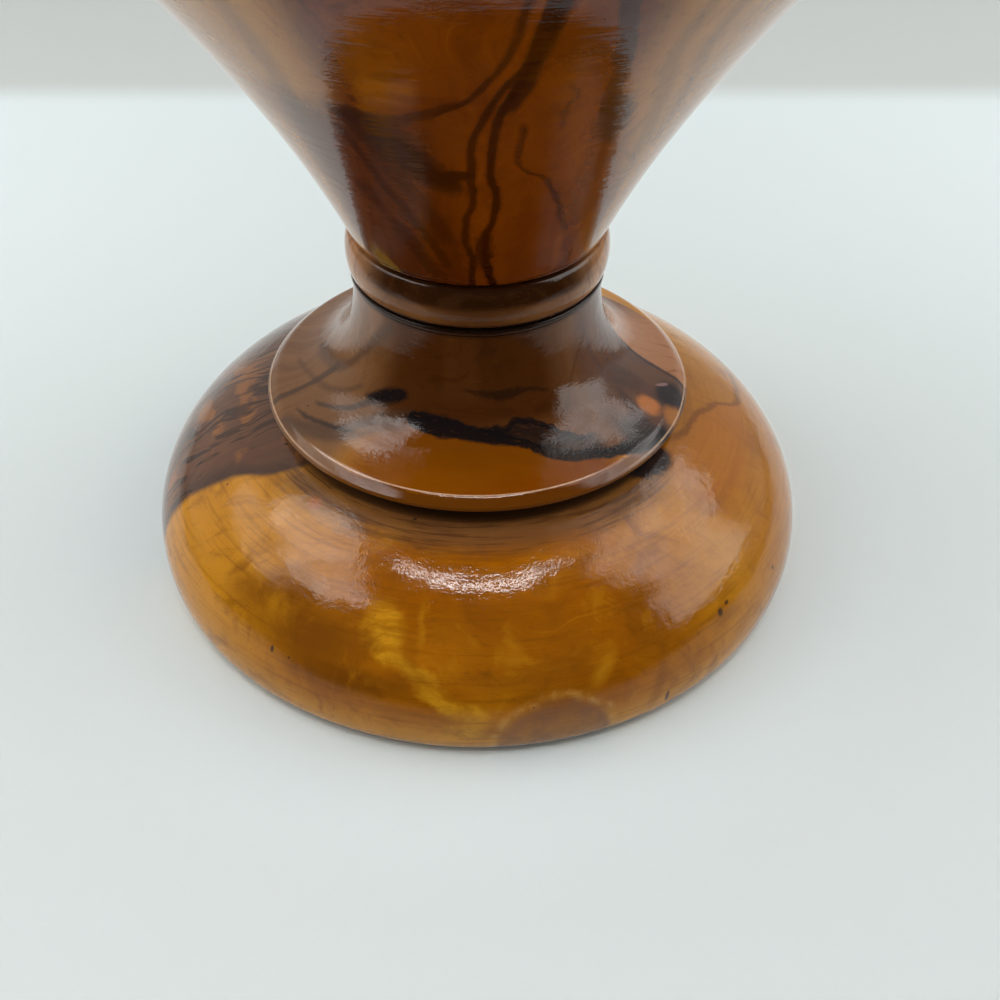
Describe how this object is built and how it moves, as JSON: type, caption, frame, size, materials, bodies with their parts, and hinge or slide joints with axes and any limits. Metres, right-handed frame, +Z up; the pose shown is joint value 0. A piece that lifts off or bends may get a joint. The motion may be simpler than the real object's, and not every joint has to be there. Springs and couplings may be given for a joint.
{
  "type": "turned wooden vase",
  "caption": "Turned olive wood vase: domed foot, thin overhanging disc, waist bead, flaring hollow body with a round shoulder, short neck and flared lip, glossy varnish",
  "frame": {"origin": "centre of the foot's underside, on the surface the vase stands on", "axes": "+Z up along the turning axis; the pictured side faces -Y, and +X is to its right"},
  "size_m": [0.184, 0.184, 0.2885],
  "materials": {
    "foot_wood": "gloss varnish over honey olive wood with dark heartwood",
    "body_wood": "gloss varnish over amber olive wood with dark veins",
    "collar_wood": "gloss varnish over amber olive wood",
    "felt": "matt brown felt"
  },
  "bodies": {
    "root": {"foot": "foot_wood", "felt_pad": "felt", "body_lower": "body_wood", "body_upper": "body_wood", "neck_collar": "collar_wood"}
  },
  "joints": []
}
